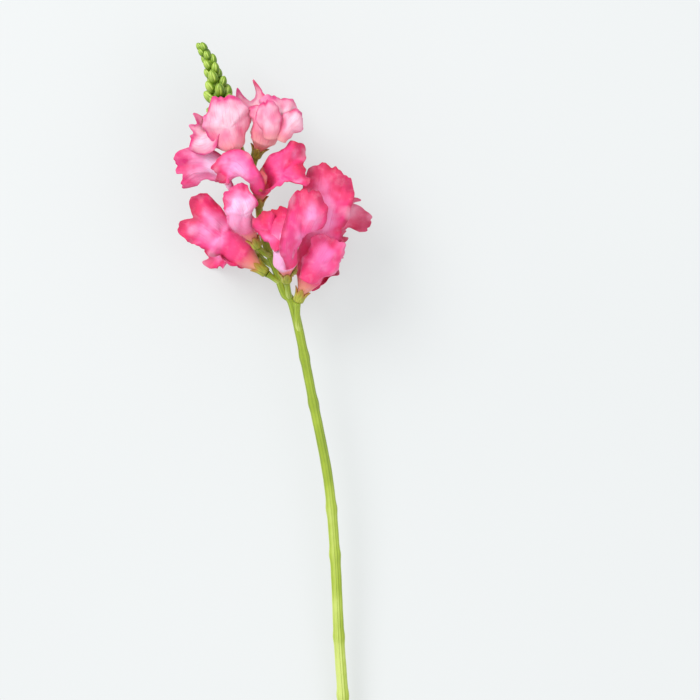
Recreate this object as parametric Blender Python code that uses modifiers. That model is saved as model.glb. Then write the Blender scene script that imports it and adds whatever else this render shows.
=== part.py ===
"""A cut snapdragon stem that lies on a surface, with its flower head away from the cut end.

Metres, +Z up, +Y from the cut end to the tip. All design values below are in millimetres. They are
given round a point on the stem, and SHIFT moves them so that the origin is at the middle of the
underside.
"""
import math
from collections import namedtuple

import bmesh
import bpy
import numpy as np
from mathutils import Matrix, Vector

MM = 0.001
SHIFT = np.array((-0.64, -0.18, 0.0))

PETAL_THICKNESS = 0.8
PETAL_GAP = 0.35
TUBE_FOOT_RADIUS = 1.5
TUBE_FLARE = 1.7
TUBE_ROWS = 3
LIP_ROWS = 7
LIP_COLUMNS = 8
ROUTE_STEPS = 60

# A lip leaves the tube as half a ring. By these shares of its length it is unrolled, has its middle
# width, and starts to take its end width.
UNROLLED_AT = 0.6
MIDDLE_WIDTH_AT = 0.45
END_WIDTH_FROM = 0.4
# How far the sides swing in and out, the waves round the rim as a count and a height, and the folds
# across the middle.
SIDE_SWING = 0.06
RIM_WAVES = [(6, 1.0), (9, 0.4)]
FOLD_HEIGHT = 0.6
CURL_HEIGHT = 2.0

CALYX_DEPTH = 1.6
CALYX_HEIGHT = 5.6
CALYX_COLUMNS = 20
CALYX_FLARE = 0.2
CALYX_FOOT_RADIUS = 1.6
CALYX_LEVELS = (-1.0, 0.0, 0.5, 1.0)
SEPAL_CUT = 0.5
SEPALS = 5
SEPAL_POINT = 0.75

PEDICEL_RADIUS = 1.2
PEDICEL_FOOT = 1.15
PEDICEL_SAG = 1.0
PEDICEL_POINTS = 8
STAMEN_RADIUS = 0.5
STAMEN_CLEARANCE = 0.4
ANTHER_SIZE = (1.1, 0.9, 1.7)
ANTHER_REACH = 1.5
WELD_DISTANCE = 0.00001

# The middle of the stem from the cut end to where the buds begin, and how thick it is there.
STEM_ROUTE = [
    (36.5, -190.4, 2.8), (34.6, -147.0, 5.8), (32.4, -104.9, 9.2), (30.6, -77.9, 11.6), (28.8, -40.0, 14.8),
    (25.7, -5.9, 18.0), (19.1, 28.4, 21.4), (10.4, 70.7, 25.6), (5.9, 78.3, 26.5), (2.3, 88.7, 27.6),
    (-1.4, 97.7, 28.6), (-4.5, 108.9, 29.7), (-5.9, 120.2, 30.8), (-7.7, 129.2, 31.7), (-11.3, 135.9, 32.2),
    (-14.0, 144.5, 32.8), (-17.6, 156.2, 33.2),
]
CUT_Y = -190.0
HEAD_Y = 75.0
TOP_Y = 155.0
STEM_CUT_RADIUS = 2.8
STEM_HEAD_RADIUS = 2.0
STEM_TOP_RADIUS = 1.3
STEM_RINGS = 48
STEM_NODES = [-147.0, -104.0, -77.2, -40.0, -19.0, 28.4, 49.5]
NODE_SWELL = 0.16
NODE_LENGTH = 2.5

# The middle of the bud spike, which goes on from the stem.
SPIKE_ROUTE = [(-18.2, 157.0, 33.2), (-23.0, 165.5, 33.4), (-24.8, 173.0, 33.6), (-26.8, 180.0, 33.6),
               (-29.2, 185.5, 33.2), (-31.2, 188.5, 32.8)]
SPIKE_FOOT_RADIUS = 3.4
SPIKE_TIP_RADIUS = 0.8
SPIKE_RINGS = 14
SPIKE_BUDS = 26
SPIKE_TURN = math.radians(137.5)
SPIKE_FULLNESS = 0.6
BUD_SEED = 5
BUD_SIZE_SPREAD = 0.1
BUD_LEAN_SPREAD = 0.1
BUD_FOOT_LENGTH = 10.0
BUD_TIP_LENGTH = 4.4
BUD_FOOT_LEAN = 1.05
BUD_TIP_LEAN = 0.12
BUD_SLIMNESS = 0.33
BUD_FULLNESS = 2.2
BUD_SUNK = 0.12
BUD_STAR = 0.08
BUD_ROOT = 0.9

# A lip is one petal sheet. Its route starts at the mouth of the tube and goes through the points given.
# widths are its flat widths half way along and at the end. ends says how far along the route the lip
# reaches, from one side of it to the other, which makes its lobes. cup is the half angle in radians that
# it is rolled through near its end, face the way that its outer side looks there, and ruffle and curl
# are the height of its waves and of its turned-back rim.
Lip = namedtuple("Lip", "route widths ends cup face ruffle curl")

# base is the foot of the tube, in the calyx, mouth the middle of where it splits, outward the way from
# there to the upper lip, girth the radius of the mouth, and joint where the pedicel leaves the stem,
# as a distance along Y.
Bloom = namedtuple("Bloom", "tint base mouth outward girth joint seed upper lower")

BLOOMS = [
    Bloom("pale", base=(-16.0, 139.5, 38.5), mouth=(-17.5, 146.0, 46.0), outward=(0.45, -0.5, 1.0),
          girth=6.0, joint=132.0, seed=1,
          upper=Lip([(-18.2, 152.0, 53.5), (-19.4, 160.0, 55.0), (-21.0, 167.5, 51.5)], (26, 20),
                    (0.80, 0.93, 1.0, 0.97, 0.95, 0.99, 0.97, 0.92, 0.80), 0.9, (0.1, 0, 1), 0.7, -0.4),
          lower=Lip([(-25.5, 150.0, 43.5), (-31.0, 149.0, 44.0), (-37.5, 151.5, 42.5)], (18, 19),
                    (0.66, 0.77, 0.83, 0.87, 0.84, 0.96, 0.83, 1.0, 0.72), 0.8, (0, -0.3, 1), 0.6, 0.4)),
    Bloom("pale", base=(-6.5, 140.5, 37.5), mouth=(-3.5, 148.0, 42.5), outward=(-0.6, 0.4, -1.0),
          girth=6.2, joint=131.0, seed=2,
          upper=Lip([(-6.5, 157.0, 28.0), (-9.0, 165.0, 21.0), (-12.0, 173.0, 18.0)], (16, 18),
                    (0.66, 0.80, 1.0, 0.84, 0.76, 0.84, 1.0, 0.80, 0.66), 0.6, (0.2, 0, -1), 0.5, 0.4),
          lower=Lip([(3.0, 154.0, 50.5), (5.0, 161.5, 51.0), (2.0, 168.0, 46.5)], (28, 20),
                    (0.90, 0.98, 1.0, 1.0, 0.96, 0.95, 0.88, 0.84, 0.70), 1.05, (0.4, 0, 1), 1.0, -0.5)),
    Bloom("deep", base=(-5.5, 118.5, 38.5), mouth=(-4.5, 125.5, 45.0), outward=(-1.0, 0.0, 0.3),
          girth=4.8, joint=112.0, seed=3,
          upper=Lip([(-11.0, 129.5, 54.0), (-19.0, 134.5, 55.0), (-26.5, 131.5, 51.0)], (19, 15),
                    (0.85, 0.97, 1.0, 0.96, 0.92, 0.98, 1.0, 0.94, 0.82), 0.8, (-0.2, 0.2, 1), 0.7, -0.6),
          lower=Lip([(2.5, 130.5, 49.0), (9.5, 134.0, 50.0), (18.5, 137.5, 48.0)], (19, 25),
                    (0.68, 0.80, 0.79, 0.82, 0.84, 0.95, 1.0, 0.93, 0.76), 0.6, (0.1, -0.3, -1), 1.0, 0.5)),
    Bloom("light", base=(-6.5, 100.0, 37.5), mouth=(-11.0, 108.0, 43.0), outward=(-0.8, 0.3, -0.6),
          girth=5.2, joint=95.0, seed=4,
          upper=Lip([(-17.5, 121.0, 40.0), (-24.0, 132.0, 38.0), (-33.5, 136.0, 36.0),
                     (-43.0, 131.5, 33.0)], (15, 18),
                    (0.90, 0.98, 1.0, 0.94, 0.96, 0.97, 0.92, 0.93, 0.84), 0.5, (0, -0.2, 1), 0.9, 0.6),
          lower=Lip([(-11.5, 111.0, 51.0), (-14.0, 118.0, 53.0), (-18.5, 124.5, 49.5)], (15, 16),
                    (0.84, 0.95, 0.98, 1.0, 0.97, 1.0, 0.95, 0.96, 0.84), 0.5, (0, -0.3, 1), 0.6, 0.4)),
    Bloom("deep", base=(-3.0, 88.0, 29.5), mouth=(-12.0, 95.0, 28.5), outward=(-0.3, 0.6, 1.0),
          girth=5.8, joint=83.0, seed=5,
          upper=Lip([(-21.0, 103.0, 35.0), (-30.0, 110.0, 36.0), (-39.0, 114.5, 34.0)], (20, 24),
                    (0.80, 0.95, 1.0, 0.97, 0.86, 0.97, 1.0, 0.93, 0.84), 0.5, (0, 0, 1), 1.0, 0.7),
          lower=Lip([(-17.0, 95.5, 25.0), (-21.0, 98.0, 23.5), (-24.0, 101.0, 22.0)], (17, 19),
                    (0.80, 0.95, 0.90, 1.0, 0.93, 1.0, 0.90, 0.95, 0.80), 0.9, (-0.2, -0.9, -0.4), 1.0, 0.6)),
    Bloom("deep", base=(7.0, 84.5, 37.5), mouth=(6.5, 92.0, 44.0), outward=(-1.0, 0.2, 0.3),
          girth=5.4, joint=76.0, seed=6,
          upper=Lip([(3.6, 99.5, 52.0), (2.2, 107.5, 52.5), (0.2, 117.0, 49.0)], (15, 19),
                    (0.84, 0.92, 0.95, 0.93, 0.97, 0.96, 1.0, 0.92, 0.84), 0.8, (-0.2, 0, 1), 0.7, -0.4),
          lower=Lip([(13.0, 102.0, 55.0), (16.5, 113.0, 57.0), (17.5, 124.5, 53.0)], (21, 16),
                    (0.80, 0.93, 0.99, 1.0, 0.96, 1.0, 0.98, 0.90, 0.78), 0.4, (0.2, 0, 1), 1.1, 0.6)),
    Bloom("deep", base=(12.5, 75.5, 32.0), mouth=(17.0, 85.0, 34.5), outward=(0.2, 0.6, 0.8),
          girth=5.8, joint=60.0, seed=7,
          upper=Lip([(20.5, 98.5, 40.0), (23.5, 114.0, 41.0), (28.0, 136.0, 38.0)], (22, 24),
                    (0.80, 0.92, 0.98, 1.0, 0.97, 0.98, 0.92, 0.93, 0.80), 0.4, (0, 0, 1), 0.9, 0.6),
          lower=Lip([(21.0, 87.0, 28.0), (26.0, 91.0, 25.0), (30.0, 95.0, 22.0)], (20, 20),
                    (0.80, 0.95, 0.88, 1.0, 0.92, 1.0, 0.88, 0.95, 0.80), 0.7, (0.6, -0.6, 0), 1.0, 0.6)),
    Bloom("soft", base=(1.0, 104.0, 22.0), mouth=(11.0, 108.0, 20.0), outward=(0.0, 1.0, 0.6),
          girth=5.2, joint=96.0, seed=8,
          upper=Lip([(24.0, 112.0, 25.0), (34.0, 114.5, 26.0), (45.0, 113.5, 23.0)], (15, 16),
                    (0.66, 0.84, 0.76, 0.90, 0.98, 1.0, 1.0, 0.98, 0.90), 0.4, (0, 0, 1), 0.8, 0.6),
          lower=Lip([(19.0, 108.0, 11.0), (27.0, 108.0, 5.0), (33.0, 109.0, 0.4)], (18, 18),
                    (0.80, 0.95, 0.90, 1.0, 0.92, 1.0, 0.90, 0.95, 0.80), 0.6, (0, -0.2, -1), 1.0, 0.4)),
    Bloom("deep", base=(-6.0, 94.5, 21.5), mouth=(-13.0, 98.5, 12.5), outward=(-0.5, 0.8, 0.4),
          girth=4.8, joint=90.0, seed=9,
          upper=Lip([(-21.0, 106.0, 10.0), (-27.0, 109.0, 9.0), (-32.0, 112.0, 6.0)], (16, 17),
                    (0.76, 0.94, 0.98, 0.90, 0.84, 0.92, 1.0, 0.94, 0.76), 0.5, (0, 0.2, 1), 1.0, 0.8),
          lower=Lip([(-18.0, 97.0, 4.0), (-24.0, 98.0, 0.4), (-30.0, 100.0, 0.4)], (18, 18),
                    (0.80, 0.95, 0.88, 1.0, 0.92, 1.0, 0.88, 0.95, 0.80), 0.5, (0, 0, -1), 1.0, 0.4)),
    Bloom("deep", base=(7.0, 88.0, 20.0), mouth=(12.0, 91.0, 12.5), outward=(0.8, 0.5, 0.4),
          girth=4.8, joint=80.0, seed=10,
          upper=Lip([(19.0, 93.0, 9.0), (24.0, 94.0, 8.0), (28.0, 94.0, 5.0)], (16, 17),
                    (0.76, 0.94, 0.98, 0.90, 0.84, 0.92, 1.0, 0.94, 0.76), 0.5, (0, 0, 1), 1.0, 0.8),
          lower=Lip([(13.0, 90.0, 3.0), (18.0, 89.0, 0.4), (24.0, 88.0, 0.4)], (18, 18),
                    (0.80, 0.95, 0.88, 1.0, 0.92, 1.0, 0.88, 0.95, 0.80), 0.5, (0, 0, -1), 1.0, 0.4)),
]

# Colour, roughness
FINISHES = {
    "stem": ((0.36, 0.52, 0.08), 0.55),
    "bud": ((0.12, 0.28, 0.03), 0.5),
    "pale": ((0.93, 0.42, 0.55), 0.6),
    "light": ((0.93, 0.40, 0.66), 0.6),
    "deep": ((0.90, 0.10, 0.32), 0.6),
    "soft": ((0.80, 0.20, 0.38), 0.6),
    "anther": ((0.80, 0.55, 0.12), 0.7),
}


def unit(vector):
    vector = np.asarray(vector, float)
    return vector / np.linalg.norm(vector)


def smooth_step(value):
    value = np.clip(value, 0.0, 1.0)
    return value * value * (3 - 2 * value)


def smooth_curve(points, count, start_direction=None):
    """Evenly spaced places on a smooth curve through points, and its length."""
    points = [np.asarray(point, float) for point in points]
    lead = points[1] - points[0]
    if start_direction is not None:
        lead = np.linalg.norm(lead) * unit(start_direction)
    points = [points[1] - 2 * lead] + points + [2 * points[-1] - points[-2]]
    dense = []
    for before, start, end, after in zip(points, points[1:], points[2:], points[3:]):
        for u in np.linspace(0, 1, 16, endpoint=False):
            dense.append(0.5 * (2 * start + (end - before) * u
                                + (2 * before - 5 * start + 4 * end - after) * u ** 2
                                + (3 * start - before - 3 * end + after) * u ** 3))
    dense = np.array(dense + [points[-2]])
    run = np.concatenate([[0], np.cumsum(np.linalg.norm(np.diff(dense, axis=0), axis=1))])
    at = np.linspace(0, run[-1], count)
    return np.stack([np.interp(at, run, dense[:, axis]) for axis in range(3)], 1), run[-1]


def carried_frames(points, normal):
    """Tangents of a curve, and a normal that is carried along it without twisting."""
    tangents = np.gradient(points, axis=0)
    tangents /= np.linalg.norm(tangents, axis=1)[:, None]
    normals = []
    for tangent in tangents:
        normal = unit(normal - tangent * np.dot(normal, tangent))
        normals.append(normal)
    return tangents, np.array(normals)


def turned_to_face(tangents, normals, face):
    """The carried normals, turned more and more round the curve until the last one looks along face."""
    face = unit(face - tangents[-1] * np.dot(face, tangents[-1]))
    angle = math.atan2(np.dot(np.cross(normals[-1], face), tangents[-1]), np.dot(normals[-1], face))
    amount = angle * smooth_step(np.linspace(0, 1.25, len(normals)))[:, None]
    return normals * np.cos(amount) + np.cross(tangents, normals) * np.sin(amount)


def along_curve(share, values):
    """Values at a share of a curve's length, for whole grids of shares."""
    at = np.linspace(0, 1, len(values))
    return np.stack([np.interp(share, at, values[:, axis]) for axis in range(3)], -1)


def normalised(vectors):
    return vectors / np.linalg.norm(vectors, axis=-1, keepdims=True)


def lip_grid(lip, mouth, axis, outward, girth, seed):
    """Points of one lip, row by row from the mouth to the rim, each row from one side to the other."""
    middle, length = smooth_curve([mouth + girth * outward] + lip.route, ROUTE_STEPS + 1, axis)
    tangents, normals = carried_frames(middle, outward)
    normals = turned_to_face(tangents, normals, np.asarray(lip.face, float))
    phases = np.random.default_rng(seed).uniform(0, 2 * math.pi, 4)
    rows, columns = np.linspace(0, 1, LIP_ROWS + 1), np.linspace(-1, 1, LIP_COLUMNS + 1)
    u, theta = np.meshgrid(rows, columns, indexing="ij")

    # How far along the route each point lies, and how wide and how rolled up the lip is there.
    s = u - (1 - np.array(lip.ends)) * u ** 2
    roll = math.pi / 2 + (lip.cup - math.pi / 2) * smooth_step(s / UNROLLED_AT)
    middle_width, end_width = lip.widths
    half_ring = math.pi / 2 * girth
    half = half_ring + (middle_width / 2 - half_ring) * smooth_step(s / MIDDLE_WIDTH_AT)
    half += (end_width - middle_width) / 2 * smooth_step((s - END_WIDTH_FROM) / (1 - END_WIDTH_FROM))
    half *= 1 + SIDE_SWING * np.sin(11 * s + phases[2] + 2 * theta) * smooth_step(u / 0.4)
    place, tangent, normal = (along_curve(s, part) for part in (middle, tangents, normals))
    tangent, normal = normalised(tangent), normalised(normal)
    side = np.cross(tangent, normal)
    angle = (theta * roll)[..., None]
    point = place + (half / roll)[..., None] * (np.sin(angle) * side + (np.cos(angle) - 1) * normal)
    lift = np.sin(angle) * side + np.cos(angle) * normal

    # Waves that run round the rim, a few folds across the middle, and the rim turned back.
    rim = (np.abs(theta) ** 5 + u ** 5) ** 0.4
    spread = np.arctan2(theta * half, (s - 0.4) * length)
    wave = 0
    for (count, height), phase in zip(RIM_WAVES, phases):
        wave = wave + height * np.sin(count * spread + phase)
    fold = FOLD_HEIGHT * np.sin(3 * theta + phases[2]) * np.sin(4 * s + phases[3])
    raised = lip.ruffle * (wave * np.minimum(rim, 1.2) + fold) + CURL_HEIGHT * lip.curl * u ** 4
    return point + lift * (raised * smooth_step(u / 0.35))[..., None]


def bloom_sheet(bloom):
    """One open sheet for the whole corolla: a closed foot, a tube, and two lips that part at its mouth."""
    base, mouth = np.asarray(bloom.base, float), np.asarray(bloom.mouth, float)
    axis = unit(mouth - base)
    outward = np.asarray(bloom.outward, float)
    outward = unit(outward - axis * np.dot(outward, axis))
    grids = [lip_grid(bloom.upper, mouth, axis, outward, bloom.girth, bloom.seed),
             lip_grid(bloom.lower, mouth, axis, -outward, bloom.girth, bloom.seed + 50)]
    ring = np.concatenate([grids[0][0][:-1], grids[1][0][:-1]])
    vertices = [base]
    rings = []
    for row in range(TUBE_ROWS + 1):
        v = row / TUBE_ROWS
        radius = TUBE_FOOT_RADIUS + (bloom.girth - TUBE_FOOT_RADIUS) * v ** TUBE_FLARE
        rings.append(list(range(len(vertices), len(vertices) + len(ring))))
        vertices += list(base + v * (mouth - base) + (ring - mouth) * radius / bloom.girth)
    around = len(ring)
    faces = [(0, rings[0][(i + 1) % around], rings[0][i]) for i in range(around)]
    for low, high in zip(rings, rings[1:]):
        faces += [(low[i], low[(i + 1) % around], high[(i + 1) % around], high[i]) for i in range(around)]
    first = 0
    for grid in grids:
        count = grid[0].shape[0]
        low = [rings[-1][(first + i) % around] for i in range(count)]
        for line in grid[1:]:
            high = list(range(len(vertices), len(vertices) + count))
            vertices += list(line)
            faces += [(low[i], low[i + 1], high[i + 1], high[i]) for i in range(count - 1)]
            low = high
        first += count - 1
    return np.array(vertices), faces


def calyx_sheet(bloom):
    """A cup that ends in pointed sepals and stands a gap away from the tube."""
    base, mouth = np.asarray(bloom.base, float), np.asarray(bloom.mouth, float)
    axis = unit(mouth - base)
    tube = np.linalg.norm(mouth - base)
    side = unit(np.cross(axis, (0.3, 0.2, 1.0)))
    other = np.cross(axis, side)
    clear = PETAL_THICKNESS + PETAL_GAP
    vertices = [base - axis * CALYX_DEPTH]
    faces = []
    rings = []
    for level in CALYX_LEVELS:
        ids = []
        for column in range(CALYX_COLUMNS):
            angle = 2 * math.pi * column / CALYX_COLUMNS
            sepal = (1 - abs(2 * (SEPALS * column / CALYX_COLUMNS % 1) - 1)) ** SEPAL_POINT
            height = max(level, 0) * CALYX_HEIGHT * (1 - SEPAL_CUT + SEPAL_CUT * sepal)
            radius = TUBE_FOOT_RADIUS + (bloom.girth - TUBE_FOOT_RADIUS) * (height / tube) ** TUBE_FLARE
            radius += clear + CALYX_FLARE * max(level, 0) ** 3 * sepal
            if level < 0:
                radius, height = CALYX_FOOT_RADIUS, -CALYX_DEPTH
            ids.append(len(vertices))
            outward = math.cos(angle) * side + math.sin(angle) * other
            vertices.append(base + axis * height + radius * outward)
        rings.append(ids)
    faces += [(0, rings[0][(i + 1) % CALYX_COLUMNS], rings[0][i]) for i in range(CALYX_COLUMNS)]
    for low, high in zip(rings, rings[1:]):
        for i in range(CALYX_COLUMNS):
            k = (i + 1) % CALYX_COLUMNS
            faces.append((low[i], low[k], high[k], high[i]))
    return np.array(vertices), faces


def pressed_to_floor(vertices):
    """Petals flatten where they meet the surface that the stem lies on."""
    vertices = vertices.copy()
    vertices[:, 2] = np.maximum(vertices[:, 2], PETAL_THICKNESS / 2)
    return vertices


def new_object(name, mesh, collection):
    thing = bpy.data.objects.new(name, mesh)
    collection.objects.link(thing)
    return thing


def sheet_object(name, vertices, faces, collection):
    """A closed thin shell from an open sheet, split alike on both faces."""
    mesh = bpy.data.meshes.new(name)
    mesh.from_pydata([tuple((vertex + SHIFT) * MM) for vertex in vertices], [], faces)
    shape = bmesh.new()
    shape.from_mesh(mesh)
    bmesh.ops.triangulate(shape, faces=shape.faces, quad_method="SHORT_EDGE")
    shape.to_mesh(mesh)
    shape.free()
    thing = new_object(name, mesh, collection)
    solid = thing.modifiers.new("thickness", "SOLIDIFY")
    solid.thickness = PETAL_THICKNESS * MM
    solid.offset = 0
    mesh.shade_smooth()
    return thing


def tube_object(name, points, radii, collection, resolution=2):
    """A round tube along points, as a welded closed mesh."""
    curve = bpy.data.curves.new(name, "CURVE")
    curve.dimensions = "3D"
    curve.bevel_depth = MM
    curve.bevel_resolution = resolution
    curve.use_fill_caps = True
    spline = curve.splines.new("POLY")
    spline.points.add(len(points) - 1)
    for target, point, radius in zip(spline.points, points, radii):
        target.co = (*((point + SHIFT) * MM), 1)
        target.radius = radius
    guide = new_object(name + "_route", curve, collection)
    mesh = bpy.data.meshes.new_from_object(guide.evaluated_get(bpy.context.evaluated_depsgraph_get()))
    shape = bmesh.new()
    shape.from_mesh(mesh)
    bmesh.ops.remove_doubles(shape, verts=shape.verts, dist=WELD_DISTANCE)
    shape.to_mesh(mesh)
    shape.free()
    thing = new_object(name, mesh, collection)
    thing.matrix_world = guide.matrix_world
    bpy.data.objects.remove(guide)
    return thing


def baked(thing):
    """Replace an object's mesh with what its modifiers make of it."""
    mesh = bpy.data.meshes.new_from_object(thing.evaluated_get(bpy.context.evaluated_depsgraph_get()))
    thing.modifiers.clear()
    thing.data = mesh


def fused(thing, pieces, solver="EXACT"):
    """One Boolean union of an object with all objects in a collection, which are then removed."""
    union = thing.modifiers.new("fuse", "BOOLEAN")
    union.operation = "UNION"
    union.operand_type = "COLLECTION"
    union.collection = pieces
    union.solver = solver
    baked(thing)
    for piece in list(pieces.objects):
        bpy.data.objects.remove(piece)


def finished(thing, finish):
    colour, roughness = FINISHES[finish]
    material = bpy.data.materials.new(thing.name)
    material.use_nodes = True
    shader = material.node_tree.nodes["Principled BSDF"]
    shader.inputs["Base Color"].default_value = (*colour, 1)
    shader.inputs["Roughness"].default_value = roughness
    thing.data.materials.clear()
    thing.data.materials.append(material)
    thing.data.shade_smooth()


def stem_line(count):
    """Points along the stem and its radius there, with a swelling at each node."""
    points, _ = smooth_curve(STEM_ROUTE, count)
    known_radii = (STEM_CUT_RADIUS, STEM_HEAD_RADIUS, STEM_TOP_RADIUS)
    radii = np.interp(points[:, 1], (CUT_Y, HEAD_Y, TOP_Y), known_radii)
    for node in STEM_NODES:
        radii *= 1 + NODE_SWELL * np.exp(-((points[:, 1] - node) / NODE_LENGTH) ** 2)
    return points, radii


def make_stem(collection, pieces):
    points, radii = stem_line(STEM_RINGS)
    stem = tube_object("stem", points, radii, collection)
    for number, bloom in enumerate(BLOOMS, 1):
        base, mouth = np.asarray(bloom.base, float), np.asarray(bloom.mouth, float)
        forward = unit(mouth - base)
        leave = np.array([np.interp(bloom.joint, points[:, 1], points[:, axis]) for axis in range(3)])
        end = base - forward * (CALYX_DEPTH + 0.1)
        route = [leave, (leave + end) / 2 - forward * PEDICEL_SAG, end]
        line, _ = smooth_curve(route, PEDICEL_POINTS)
        thickness = np.linspace(PEDICEL_RADIUS * PEDICEL_FOOT, PEDICEL_RADIUS, PEDICEL_POINTS)
        tube_object(f"pedicel_{number:02d}", line, thickness, pieces, 1)
        vertices, faces = calyx_sheet(bloom)
        baked(sheet_object(f"calyx_{number:02d}", vertices, faces, pieces))
    fused(stem, pieces)
    finished(stem, "stem")


def make_bud(name, foot, direction, length, pieces):
    """A closed bud in its sepals: full below, pointed above, and a little star-shaped across."""
    shape = bmesh.new()
    bmesh.ops.create_uvsphere(shape, u_segments=10, v_segments=6, radius=1)
    for vertex in shape.verts:
        share = (vertex.co.z + 1) / 2
        angle = math.atan2(vertex.co.y, vertex.co.x)
        round_part = math.hypot(vertex.co.x, vertex.co.y)
        width = BUD_SLIMNESS * BUD_FULLNESS * share ** 0.5 * (1 - share) ** 0.62
        width = width if round_part > 0.01 else 0.0
        width *= 1 - BUD_STAR * math.cos(SEPALS * angle)
        vertex.co = Vector((math.cos(angle) * width, math.sin(angle) * width, share - BUD_SUNK)) * length
    turn = Vector(direction).to_track_quat("Z", "X").to_matrix().to_4x4()
    place = Matrix.Translation(Vector(foot + SHIFT) * MM) @ turn @ Matrix.Scale(MM, 4)
    shape.transform(place)
    mesh = bpy.data.meshes.new(name)
    shape.to_mesh(mesh)
    shape.free()
    return new_object(name, mesh, pieces)


def make_spike(collection, pieces):
    """The tip of the stem, with closed buds set round it by the golden angle."""
    points, _ = smooth_curve(SPIKE_ROUTE, SPIKE_RINGS)
    along = np.linspace(0, 1, SPIKE_RINGS)
    radii = SPIKE_FOOT_RADIUS + (SPIKE_TIP_RADIUS - SPIKE_FOOT_RADIUS) * along
    spike = tube_object("bud_spike", points, radii, collection)
    tangents, normals = carried_frames(points, np.array((0.0, 0.0, 1.0)))
    chance = np.random.default_rng(BUD_SEED).uniform(-1, 1, (SPIKE_BUDS, 2))
    for number in range(SPIKE_BUDS):
        share = (number + 0.5) / SPIKE_BUDS
        place, tangent, normal = (np.array([np.interp(share, along, part[:, k]) for k in range(3)])
                                  for part in (points, tangents, normals))
        angle = number * SPIKE_TURN
        out = math.cos(angle) * unit(normal) + math.sin(angle) * np.cross(unit(tangent), unit(normal))
        lean = BUD_FOOT_LEAN + (BUD_TIP_LEAN - BUD_FOOT_LEAN) * share ** SPIKE_FULLNESS
        size = BUD_FOOT_LENGTH + (BUD_TIP_LENGTH - BUD_FOOT_LENGTH) * share ** SPIKE_FULLNESS
        lean *= 1 + BUD_LEAN_SPREAD * chance[number, 0]
        size *= 1 + BUD_SIZE_SPREAD * chance[number, 1]
        foot = place + out * np.interp(share, along, radii) * BUD_ROOT
        make_bud(f"bud_{number:02d}", foot, unit(out * lean + tangent), size, pieces)
    fused(spike, pieces)
    finished(spike, "bud")


def make_stamens(number, bloom, collection, pieces):
    """A slender stalk that stands in the tube with a yellow head."""
    base, mouth = np.asarray(bloom.base, float), np.asarray(bloom.mouth, float)
    axis = unit(mouth - base)
    foot = base + axis * (PETAL_THICKNESS / 2 + STAMEN_CLEARANCE)
    tip = mouth + axis * ANTHER_REACH
    line, _ = smooth_curve([foot, (foot + tip) / 2, tip], 4)
    stalk = tube_object(f"stamens_{number:02d}", line, [STAMEN_RADIUS] * 4, collection, 1)
    shape = bmesh.new()
    bmesh.ops.create_uvsphere(shape, u_segments=8, v_segments=5, radius=1)
    shape.transform(Matrix.Diagonal((*ANTHER_SIZE, 1)))
    turn = Vector(axis).to_track_quat("Z", "X").to_matrix().to_4x4()
    shape.transform(Matrix.Translation(Vector(tip + SHIFT) * MM) @ turn @ Matrix.Scale(MM, 4))
    mesh = bpy.data.meshes.new("anther")
    shape.to_mesh(mesh)
    shape.free()
    new_object("anther", mesh, pieces)
    fused(stalk, pieces)
    finished(stalk, "anther")


def main():
    for thing in list(bpy.data.objects):
        bpy.data.objects.remove(thing)
    collection = bpy.data.collections.new("snapdragon_stem")
    pieces = bpy.data.collections.new("cutters")
    bpy.context.scene.collection.children.link(collection)
    bpy.context.scene.collection.children.link(pieces)
    make_stem(collection, pieces)
    make_spike(collection, pieces)
    for number, bloom in enumerate(BLOOMS, 1):
        vertices, faces = bloom_sheet(bloom)
        corolla = sheet_object(f"bloom_{number:02d}", pressed_to_floor(vertices), faces, collection)
        finished(corolla, bloom.tint)
        make_stamens(number, bloom, collection, pieces)


main()
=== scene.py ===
"""Looks of the cut snapdragon stem: fine petals, stalk, calyces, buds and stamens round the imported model.

Metres in the scene. Design values are in millimetres, as in the part's own source, and SHIFT moves them
to the part's origin in the same way.
"""
import math
from collections import namedtuple

import bpy
import numpy as np
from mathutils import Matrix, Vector


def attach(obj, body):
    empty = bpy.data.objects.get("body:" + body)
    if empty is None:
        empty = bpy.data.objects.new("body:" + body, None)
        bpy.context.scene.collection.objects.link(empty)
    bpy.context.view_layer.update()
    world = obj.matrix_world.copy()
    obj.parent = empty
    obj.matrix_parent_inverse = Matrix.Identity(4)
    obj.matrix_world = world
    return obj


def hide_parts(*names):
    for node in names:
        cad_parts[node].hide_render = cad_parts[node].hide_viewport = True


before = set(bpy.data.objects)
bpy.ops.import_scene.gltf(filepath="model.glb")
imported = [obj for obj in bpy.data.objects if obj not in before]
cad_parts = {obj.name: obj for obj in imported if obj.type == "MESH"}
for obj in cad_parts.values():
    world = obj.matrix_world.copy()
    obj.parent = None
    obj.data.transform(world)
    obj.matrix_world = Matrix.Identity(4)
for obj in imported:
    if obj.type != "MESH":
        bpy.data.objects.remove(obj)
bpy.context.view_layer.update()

MM = 0.001
SHIFT = np.array((-0.64, -0.18, 0.0))

# What the photo shows: a square of this many millimetres, round this point.
VIEW_WIDTH = 315.0
VIEW_CENTRE = np.array((35.55, 52.65, 35.0))
CAMERA_HEIGHT = 3000.0
SENSOR_WIDTH = 36.0

PETAL_THICKNESS = 0.35
CAD_PETAL_THICKNESS = 0.8
TUBE_FOOT_RADIUS = 1.5
TUBE_FLARE = 1.7
TUBE_ROWS = 18
LIP_ROWS = 60
LIP_COLUMNS = 64
ROUTE_STEPS = 60
# The tube takes this share of the range that the colours follow along a petal, and the lip the rest.
TUBE_SHARE = 0.3

# A lip leaves the tube as half a ring. These are shares of its length: where it is unrolled, where it has
# its middle width, where it starts to take its end width, where its sides swing in full, where it waves
# in full, and the place that the waves of its rim run round.
UNROLLED_AT = 0.6
MIDDLE_WIDTH_AT = 0.45
END_WIDTH_FROM = 0.4
SWUNG_AT = 0.4
WAVED_AT = 0.35
WAVE_CENTRE = 0.4

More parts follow.
